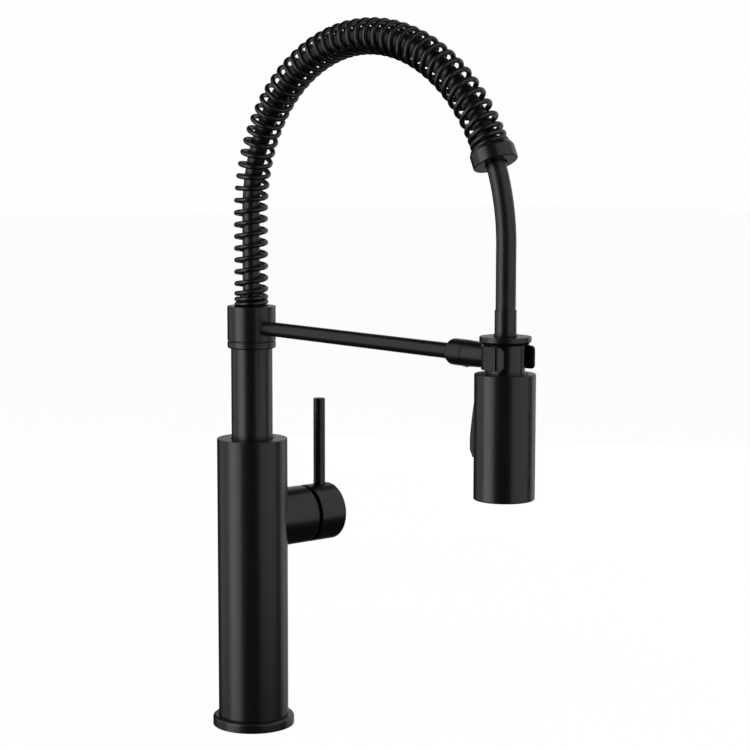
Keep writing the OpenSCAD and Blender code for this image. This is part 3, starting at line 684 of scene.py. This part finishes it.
def spring_cap():
    """Cup over the spring's end; the hose leaves through a hole in its flat end."""
    cup_r, cup_bore, hole = 15.3, SPRING_D / 2 + 0.3, HOSE_R + 0.9
    rim_r, taper = 13.8, 3
    floor = CAP_LEN - 3.5
    return lathe("spring_end_cap", rounded([
        (cup_bore, 0, 0), (rim_r, 0, 0.15), (cup_r, taper, 0.8), (cup_r, CAP_LEN, 0.8),
        (hole, CAP_LEN, 0.5), (hole, floor, 0), (cup_bore, floor, 0),
    ]), on_route(CAP_S + CAP_LEN / 2) @ upright(0, 0, -CAP_LEN / 2))


def docking_arm():
    """Round arm with a thinner spigot in the collar and a small lip where it leaves it."""
    y0, y1 = -high("docking_arm", 1), -low("docking_arm", 1)
    spigot_r = 4
    lip_r, lip_y0, lip_y1 = ARM_R + 0.6, COLLAR_R - 1.2, COLLAR_R + 0.5
    return lathe("arm_tube", rounded([
        (0, y0, 0), (spigot_r, y0, 0), (spigot_r, lip_y0, 0), (lip_r, lip_y0, 0),
        (lip_r, lip_y1, 0.3), (ARM_R, lip_y1, 0), (ARM_R, y1, 0), (0, y1, 0),
    ]), ALONG_ARM, segments=64)


def arm_sleeve():
    """Sleeve with a rounded shoulder, a fine groove and a slow taper into the clip."""
    y0 = -high("arm_sleeve", 1)
    r, end_r, bore = radius("arm_sleeve"), 8.1, ARM_R + SNUG_FIT
    shoulder = 3.4
    groove, groove_r = y0 + 17, r - 0.3
    end_y, bore_end_y, screw_y = REACH - 8, 248.2, 244
    piece = lathe("sleeve", rounded([
        (bore, y0, 0), (r, y0, shoulder), (r, groove, 0.1), (groove_r, groove + 0.1, 0),
        (groove_r, groove + 0.5, 0), (r - 0.08, groove + 0.6, 0.1), (end_r, end_y, 0),
        (0, end_y, 0), (0, bore_end_y, 0), (bore, bore_end_y, 0),
    ]), ALONG_ARM, segments=96)
    cut(piece, lathe("clip_space", rod(CLIP_R, ARM_Z - 30, ARM_Z + 30), upright(0, HEAD_Y)))
    screw_hole = rod(2.05, -20, 0)
    cut(piece, lathe("screw_hole", screw_hole, upright(0, -screw_y, ARM_Z), segments=32))
    return piece


def u_outline(outer, inner, jaws):
    """Outline of half a ring with two straight jaws towards -Y."""
    steps = 48
    half_turn = [math.pi * k / steps for k in range(steps + 1)]
    outside = [(outer * math.cos(a), outer * math.sin(a)) for a in half_turn]
    inside = [(inner * math.cos(a), inner * math.sin(a)) for a in reversed(half_turn)]
    return (
        [(outer, -jaws)] + outside + [(-outer, -jaws), (-inner, -jaws)] + inside + [(inner, -jaws)]
    )


def dock_clip():
    """Metal bracket round the liner."""
    outline = u_outline(CLIP_R, CLIP_R - CLIP_WALL, JAW_LEN)
    piece = prism("clip", outline, CLIP_Z1 - CLIP_Z0, upright(0, HEAD_Y, CLIP_Z0))
    return bevel(piece, 0.3)


def clip_liner():
    """Plastic liner whose jaws reach past the bracket and end in rounded tips."""
    z0, z1 = low("clip_liner", 2), high("clip_liner", 2)
    outline = u_outline(LINER_R, LINER_BORE_R, LINER_JAW_LEN)
    piece = prism("liner", outline, z1 - z0, upright(0, HEAD_Y, z0))
    front, back = HEAD_Y - LINER_JAW_LEN, HEAD_Y + 30
    tip_r, half_width = 3.0, 40
    kept = prism("tip_outline", rounded([
        (front, z0, tip_r), (back, z0, 0), (back, z1, 0), (front, z1, tip_r),
    ], steps=8), 2 * half_width, upright(-half_width) @ YZ_TO_XY)
    return bevel(combine(piece, kept, "INTERSECT"), 0.25)


def hose_ferrule():
    """Crimp sleeve with a flared foot that stands on the disc."""
    z0, z1 = DISC_Z1 + 0.02, high("hose_ferrule", 2)
    flare, barrel = radius("hose_ferrule"), 7.3
    bore = HOSE_R + CLOSE_FIT
    return lathe("ferrule", rounded([
        (bore, z0, 0), (flare, z0, 0.25), (flare, z0 + 1.6, 0.25), (barrel, z0 + 1.8, 0.1),
        (barrel, z1, 0.25), (bore, z1, 0),
    ], steps=3), upright(0, HEAD_Y), segments=96)


def head_cap():
    """Shoulder plug, neck and rest disc in one turned piece."""
    foot = low("head_cap", 2)
    plug_r, plug_top = HEAD_BORE_R - CLOSE_FIT, HEAD_Z1 - 1.6
    shoulder_r, shoulder_top = 14.6, HEAD_Z1 + 0.1
    socket_r, socket_top, bore = 8.1, foot + 5, 5.05
    chamfer = 2.2
    return lathe("head_neck_and_disc", rounded([
        (socket_r, foot, 0), (plug_r, foot, 0), (plug_r, plug_top, 0),
        (shoulder_r, plug_top, 0), (shoulder_r, shoulder_top, 0.3), (NECK_R, shoulder_top, 0.3),
        (NECK_R, DISC_Z0, 0.3), (DISC_R - chamfer, DISC_Z0, 0.2),
        (DISC_R, DISC_Z0 + chamfer, 0.3), (DISC_R, DISC_Z1, 0.5), (bore, DISC_Z1, 0),
        (bore, socket_top, 0), (socket_r, socket_top, 0),
    ]), upright(0, HEAD_Y))


def head_shell():
    """Shell of the spray head with the trigger's window cut in its back."""
    mouth_r, lip = 15.3, 1.5
    shell = lathe("head_tube", rounded([
        (HEAD_BORE_R, HEAD_Z0, 0.5), (HEAD_R, HEAD_Z0, 0.9), (HEAD_R, HEAD_Z1, 0.8),
        (mouth_r, HEAD_Z1, 0.3), (mouth_r, HEAD_Z1 - lip, 0), (HEAD_BORE_R, HEAD_Z1 - lip, 0),
    ]), upright(0, HEAD_Y), segments=192)
    half_w = (high("spray_trigger", 0) - low("spray_trigger", 0)) / 2 + 0.4
    z0, z1 = low("spray_trigger", 2) - 1.4, high("spray_trigger", 2) + 0.5
    corner, depth, from_axis = 1.2, 30, 35
    window = prism("window", rounded([
        (-half_w, z0, corner), (half_w, z0, corner),
        (half_w, z1, corner), (-half_w, z1, corner),
    ]), depth, upright(0, HEAD_Y + from_axis) @ Matrix.Rotation(math.pi / 2, 4, "X"))
    return cut(shell, window)


def spray_trigger():
    """Paddle: flush at the top, swelling downwards, cut back at its lower end."""
    half_w = (high("spray_trigger", 0) - low("spray_trigger", 0)) / 2
    z0, z1 = low("spray_trigger", 2), high("spray_trigger", 2)
    inner_y = 16.4
    crown_r, crown_top = 60.0, 24.2
    # Height, and distance back from the head's axis
    profile = [
        (z0, 20.6), (z0 + 2.6, 22.1), (z0 + 4.6, 23.2), (z0 + 5.6, 23.75), (z0 + 6.7, 24.0),
        (z0 + 11, 23.65), (z0 + 15.2, 23.2), (z0 + 21, 22.35), (z0 + 27.2, 21.4),
        (z0 + 32, 20.6), (z1, 19.6),
    ]
    columns = 20
    bm = bmesh.new()
    outer, inner = [], []
    for z, y in profile:
        xs = [half_w * (2 * k / columns - 1) for k in range(columns + 1)]
        crown = [crown_top - crown_r + math.sqrt(crown_r ** 2 - x ** 2) for x in xs]
        outer.append([bm.verts.new((x, min(y, c), z)) for x, c in zip(xs, crown)])
        inner.append([bm.verts.new((x, inner_y, z)) for x in xs])
    rows = len(profile)
    for grid in (outer, inner):
        for i in range(rows - 1):
            for k in range(columns):
                bm.faces.new((grid[i][k], grid[i][k + 1], grid[i + 1][k + 1], grid[i + 1][k]))
    for i in range(rows - 1):
        for k in (0, columns):
            bm.faces.new((outer[i][k], outer[i + 1][k], inner[i + 1][k], inner[i][k]))
    for i in (0, rows - 1):
        for k in range(columns):
            bm.faces.new((outer[i][k], outer[i][k + 1], inner[i][k + 1], inner[i][k]))
    piece = from_bmesh("trigger_paddle", bm, upright(0, HEAD_Y))
    return bevel(piece, 0.35, angle=35.0)


def return_spring():
    """Small compression spring behind the plunger, along Y."""
    node = "trigger_return_spring"
    y0, y1 = low(node, 1), high(node, 1)
    z = (low(node, 2) + high(node, 2)) / 2
    wire_r, turns, steps, sides = 0.25, 7, 24, 8
    coil_r = radius(node) - wire_r
    rings = []
    for i in range(turns * steps + 1):
        a = 2 * math.pi * i / steps
        out = Vector((math.cos(a), 0, math.sin(a)))
        y = y0 + wire_r + (y1 - y0 - 2 * wire_r) * i / (turns * steps)
        centre = Vector((0, y, z)) + coil_r * out
        angles = (2 * math.pi * k / sides for k in range(sides))
        rings.append([centre + wire_r * (math.cos(b) * out + Vector((0, math.sin(b), 0)))
                      for b in angles])
    return tube("return_spring_wire", rings)


def spray_face():
    """Rubber face with two rings of tapered nozzles round the central outlet."""
    z0, z1 = HEAD_Z0 + 2.6, high("spray_face", 2)
    outlet_r, plate_r = 5.5, 15.9
    plate = lathe("nozzle_plate", rounded([
        (outlet_r, z0, 0.4), (plate_r, z0, 0.3), (plate_r, z1, 0), (outlet_r, z1, 0),
    ], steps=3), upright(0, HEAD_Y), segments=96)
    tip = low("spray_face", 2)
    nozzle_rings = ((9.5, 14), (13.0, 20))
    for ring_r, count in nozzle_rings:
        for k in range(count):
            a = 2 * math.pi * k / count
            nozzle = lathe("nozzle", [
                (0.35, z0 + 0.2), (1.0, z0 + 0.2), (0.85, tip + 0.15), (0.7, tip), (0.35, tip),
            ], upright(ring_r * math.cos(a), HEAD_Y + ring_r * math.sin(a)), segments=16)
            join(plate, nozzle)
    return plate


def face_ring():
    """Ring that holds the spray face in the shell's mouth."""
    z0, z1 = low("face_ring", 2), high("face_ring", 2)
    r = HEAD_BORE_R - CLOSE_FIT
    lip_r, bore, lip_top = 15, 16, z0 + 1.4
    return lathe("outlet_ring", rounded([
        (lip_r, z0, 0.4), (r, z0, 0.4), (r, z1, 0), (bore, z1, 0),
        (bore, lip_top, 0), (lip_r, lip_top, 0),
    ], steps=3), upright(0, HEAD_Y))


# Each piece: its function, the body it rides on, its material slot, the CAD nodes it replaces
PIECES = [
    (base_flange, "base", "matte_black", "base_flange"),
    (mixer_body, "base", "matte_black", "mixer_body", "valve_housing"),
    (handle_hub, "handle", "matte_black", "handle_hub"),
    (lever_rod, "handle", "matte_black", "lever_rod"),
    (riser_tube, "spout", "matte_black", "riser_tube"),
    (stop_ring, "spout", "matte_black", "stop_ring"),
    (collar, "spout", "matte_black", "collar"),
    (coil_spring, "spout", "matte_black", "coil_spring"),
    (upper_hose, "spout", "hose_jacket", "upper_hose"),
    (spring_cap, "spout", "matte_black", "spring_cap"),
    (docking_arm, "spout", "matte_black", "docking_arm"),
    (arm_sleeve, "spout", "matte_black", "arm_sleeve"),
    (dock_clip, "spout", "matte_black", "dock_clip"),
    (clip_liner, "spout", "black_plastic", "clip_liner"),
    (hose_ferrule, "hose_end", "matte_black", "hose_ferrule"),
    (head_cap, "spray_head", "matte_black", "head_cap"),
    (head_shell, "spray_head", "matte_black", "head_shell"),
    (spray_face, "spray_head", "black_plastic", "spray_face"),
    (face_ring, "spray_head", "matte_black", "face_ring"),
    (spray_trigger, "trigger", "black_plastic", "spray_trigger"),
]


def dress(piece, material, nodes):
    """Gives a piece its material and shading, and hides the CAD nodes it replaces."""
    piece.data.materials.clear()
    piece.data.materials.append(material)
    smooth(piece)
    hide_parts(*nodes)


def build(materials):
    """Makes every piece, then gives the CAD nodes that stay their own materials."""
    replaced = {"lower_hose", "trigger_return_spring"}
    for make, body, slot, *nodes in PIECES:
        piece = make()
        dress(piece, materials[slot], nodes)
        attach(piece, body)
        replaced.update(nodes)
    hose = lower_hose()
    dress(hose, materials["hose_jacket"], ["lower_hose"])
    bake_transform(hose)
    spring = return_spring()
    dress(spring, materials["stainless_steel"], ["trigger_return_spring"])
    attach(spring, "spray_head")
    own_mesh(spring)
    slots = {row["node"]: row["material_slot"] for row in frame["record"]["subparts"]}
    for name, obj in frame["nodes"].items():
        if name not in replaced:
            obj.data.materials.clear()
            obj.data.materials.append(materials[slots[name]])


# ---------------------------------------------------------------- studio

FLOOR_HALF = 9
FLOOR_GLOW = 0.97
WORLD_DIM = (0.022, 0.022, 0.022, 1)
WORLD_PALE = (0.99, 0.99, 0.99, 1)
TARGET = Vector((0.0, -0.14, 0.27))
TOWARD_CAMERA = Vector((-math.sin(CAMERA_HEADING), -math.cos(CAMERA_HEADING), 0.0))
CAMERA_RIGHT = Vector((math.cos(CAMERA_HEADING), -math.sin(CAMERA_HEADING), 0.0))


def softbox(name, turn, rise, distance, width, height, radiance):
    """Area light aimed at TARGET, which sees it turn degrees right of the camera and rise up."""
    a, e = math.radians(turn), math.radians(rise)
    flat = TOWARD_CAMERA * math.cos(a) + CAMERA_RIGHT * math.sin(a)
    direction = flat * math.cos(e) + Vector((0, 0, math.sin(e)))
    data = bpy.data.lights.new(name, "AREA")
    data.shape = "RECTANGLE"
    data.size, data.size_y = width, height
    data.energy = radiance * math.pi * width * height
    light = bpy.data.objects.new(name, data)
    bpy.context.scene.collection.objects.link(light)
    light.location = TARGET + direction * distance
    light.rotation_euler = (-direction).to_track_quat("-Z", "Y").to_euler()


def make_floor():
    """Floor that glows near white for the camera and leaves the object's own light alone."""
    bm = bmesh.new()
    signs = ((-1, -1), (1, -1), (1, 1), (-1, 1))
    corners = [bm.verts.new((FLOOR_HALF * x, FLOOR_HALF * y, 0)) for x, y in signs]
    bm.faces.new(corners)
    mesh = bpy.data.meshes.new("floor")
    bm.to_mesh(mesh)
    bm.free()
    mesh.transform(Matrix.Translation((0, 0, -0.0002)))
    floor = new_object("floor", mesh)
    n = Nodes("pale_floor")
    mottle = n.noise(3.0, 2.0)
    shade = n.ramp(mottle, [(0.3, (0.055, 0.055, 0.055)), (0.7, (0.065, 0.065, 0.065))])
    n.link(shade, n.shader.inputs["Base Color"])
    n.shader.inputs["Roughness"].default_value = 0.9
    n.shader.inputs["Specular IOR Level"].default_value = 0.1
    n.shader.inputs["Emission Color"].default_value = (1, 1, 1, 1)
    path = n.tree.nodes.new("ShaderNodeLightPath")
    glow = n.spread(path.outputs["Is Camera Ray"], 0.0, FLOOR_GLOW)
    n.link(glow, n.shader.inputs["Emission Strength"])
    floor.data.materials.append(n.material)
    floor.visible_diffuse = False
    floor.visible_glossy = False
    floor.visible_shadow = False


def make_world():
    """Dim surroundings for the reflections, near white where the camera looks past the object."""
    world = bpy.data.worlds.new("studio")
    bpy.context.scene.world = world
    world.use_nodes = True
    tree = world.node_tree
    tree.nodes.clear()
    dim = tree.nodes.new("ShaderNodeBackground")
    dim.inputs["Color"].default_value = WORLD_DIM
    pale = tree.nodes.new("ShaderNodeBackground")
    pale.inputs["Color"].default_value = WORLD_PALE
    path = tree.nodes.new("ShaderNodeLightPath")
    mix = tree.nodes.new("ShaderNodeMixShader")
    out = tree.nodes.new("ShaderNodeOutputWorld")
    tree.links.new(path.outputs["Is Camera Ray"], mix.inputs["Fac"])
    tree.links.new(dim.outputs[0], mix.inputs[1])
    tree.links.new(pale.outputs[0], mix.inputs[2])
    tree.links.new(mix.outputs[0], out.inputs["Surface"])


def make_studio():
    make_world()
    make_floor()
    # Name, turn, rise, distance, width, height, radiance
    softbox("left_softbox", -61, 11, 1.4, 1.1, 2.3, 1.46)
    softbox("left_fill", -92, 11, 1.6, 2.5, 2.3, 0.48)
    softbox("right_softbox", 58, 17, 1.5, 2.2, 2.4, 0.68)
    softbox("rim_light", 128, 14, 1.5, 1.0, 2.4, 0.75)
    softbox("backdrop", 170, 0, 1.6, 1.1, 1.9, 0.5)
    bpy.context.scene.view_settings.view_transform = "Standard"


make_camera()
build(make_materials())
make_studio()
